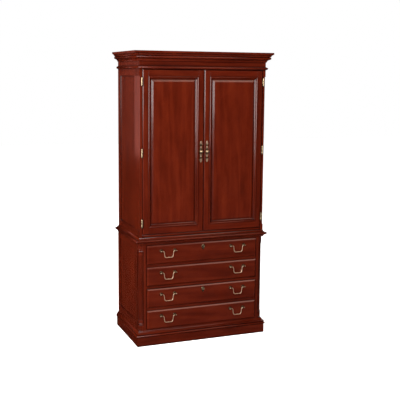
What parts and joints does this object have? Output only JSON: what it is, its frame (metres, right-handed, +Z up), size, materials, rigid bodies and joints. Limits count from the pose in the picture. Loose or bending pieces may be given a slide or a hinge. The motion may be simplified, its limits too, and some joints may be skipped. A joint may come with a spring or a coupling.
{
  "type": "armoire computer desk",
  "caption": "Tall cherry armoire desk: two panelled doors above a base with lateral file drawers, and a pull-out keyboard board.",
  "frame": {"origin": "on the floor under the middle of the cabinet's box", "axes": "+Z up, +X to the viewer's right, the doors and drawers face -Y"},
  "size_m": [0.992, 0.554, 1.981],
  "materials": {
    "cherry": "satin lacquer",
    "interior_wood": "satin lacquer",
    "antique_brass": "antiqued",
    "steel": "zinc plated",
    "black_plastic": "matte"
  },
  "bodies": {
    "case": {"plinth_boards": "cherry", "plinth_moulding": "cherry", "base_side_left": "cherry", "base_side_right": "cherry", "side_panels": "cherry", "base_face_frame": "cherry", "corner_columns": "cherry", "base_bottom": "interior_wood", "base_back": "interior_wood", "base_top": "cherry", "slide_channels": "steel", "hutch_side_left": "cherry", "hutch_side_right": "cherry", "hutch_bottom": "interior_wood", "hutch_base_moulding": "cherry", "hutch_top": "cherry", "frieze_rail": "cherry", "cornice_mouldings": "cherry", "hutch_back": "interior_wood", "monitor_shelf": "interior_wood", "adjustable_shelves": "interior_wood", "shelf_pins": "steel", "cable_grommets": "black_plastic", "door_catches": "black_plastic", "case_hinge_leaves": "antique_brass", "hinge_pins": "antique_brass"},
    "door_left": {"door_left_frame": "cherry", "door_left_panel": "cherry", "door_left_moulding": "cherry", "door_left_leaves_strike": "antique_brass", "door_left_plate": "antique_brass", "door_left_knob": "antique_brass"},
    "door_right": {"door_right_frame": "cherry", "door_right_panel": "cherry", "door_right_moulding": "cherry", "door_right_leaves_strike": "antique_brass", "door_right_plate": "antique_brass", "door_right_knob": "antique_brass"},
    "keyboard": {"keyboard_board": "cherry", "keyboard_slides": "steel"},
    "file_upper": {"file_upper_front": "cherry", "file_upper_box": "interior_wood", "file_upper_hanging_rails": "steel", "file_upper_slides": "steel", "file_upper_posts": "antique_brass"},
    "file_lower": {"file_lower_front": "cherry", "file_lower_box": "interior_wood", "file_lower_hanging_rails": "steel", "file_lower_slides": "steel", "file_lower_posts": "antique_brass"},
    "bail_1_left": {"bail_1_left": "antique_brass"},
    "bail_1_right": {"bail_1_right": "antique_brass"},
    "bail_2_left": {"bail_2_left": "antique_brass"},
    "bail_2_right": {"bail_2_right": "antique_brass"},
    "bail_3_left": {"bail_3_left": "antique_brass"},
    "bail_3_right": {"bail_3_right": "antique_brass"},
    "bail_4_left": {"bail_4_left": "antique_brass"},
    "bail_4_right": {"bail_4_right": "antique_brass"},
    "lock_upper": {"lock_upper": "antique_brass"},
    "lock_lower": {"lock_lower": "antique_brass"}
  },
  "joints": [
    {"name": "door_left_hinge", "type": "hinge", "parent": "case", "child": "door_left", "pos_m": [-0.4375, -0.241, 1.315], "axis": [0, 0, -1], "range_deg": [0, 165]},
    {"name": "door_right_hinge", "type": "hinge", "parent": "case", "child": "door_right", "pos_m": [0.4375, -0.241, 1.315], "axis": [0, 0, 1], "range_deg": [0, 165]},
    {"name": "keyboard_slide", "type": "slide", "parent": "case", "child": "keyboard", "axis": [0, -1, 0], "range_m": [0, 0.3]},
    {"name": "file_upper_slide", "type": "slide", "parent": "case", "child": "file_upper", "axis": [0, -1, 0], "range_m": [0, 0.38]},
    {"name": "file_lower_slide", "type": "slide", "parent": "case", "child": "file_lower", "axis": [0, -1, 0], "range_m": [0, 0.38]},
    {"name": "bail_1_left_swing", "type": "hinge", "parent": "file_upper", "child": "bail_1_left", "pos_m": [-0.255, -0.261, 0.6511], "axis": [-1, 0, 0], "range_deg": [-8, 100]},
    {"name": "bail_1_right_swing", "type": "hinge", "parent": "file_upper", "child": "bail_1_right", "pos_m": [0.255, -0.261, 0.6511], "axis": [-1, 0, 0], "range_deg": [-8, 100]},
    {"name": "bail_2_left_swing", "type": "hinge", "parent": "file_upper", "child": "bail_2_left", "pos_m": [-0.255, -0.261, 0.5014], "axis": [-1, 0, 0], "range_deg": [-8, 100]},
    {"name": "bail_2_right_swing", "type": "hinge", "parent": "file_upper", "child": "bail_2_right", "pos_m": [0.255, -0.261, 0.5014], "axis": [-1, 0, 0], "range_deg": [-8, 100]},
    {"name": "bail_3_left_swing", "type": "hinge", "parent": "file_lower", "child": "bail_3_left", "pos_m": [-0.255, -0.261, 0.3517], "axis": [-1, 0, 0], "range_deg": [-8, 100]},
    {"name": "bail_3_right_swing", "type": "hinge", "parent": "file_lower", "child": "bail_3_right", "pos_m": [0.255, -0.261, 0.3517], "axis": [-1, 0, 0], "range_deg": [-8, 100]},
    {"name": "bail_4_left_swing", "type": "hinge", "parent": "file_lower", "child": "bail_4_left", "pos_m": [-0.255, -0.261, 0.202], "axis": [-1, 0, 0], "range_deg": [-8, 100]},
    {"name": "bail_4_right_swing", "type": "hinge", "parent": "file_lower", "child": "bail_4_right", "pos_m": [0.255, -0.261, 0.202], "axis": [-1, 0, 0], "range_deg": [-8, 100]},
    {"name": "lock_upper_turn", "type": "hinge", "parent": "file_upper", "child": "lock_upper", "pos_m": [0, -0.228, 0.6656], "axis": [0, -1, 0], "range_deg": [0, 90]},
    {"name": "lock_lower_turn", "type": "hinge", "parent": "file_lower", "child": "lock_lower", "pos_m": [0, -0.228, 0.3662], "axis": [0, -1, 0], "range_deg": [0, 90]}
  ]
}
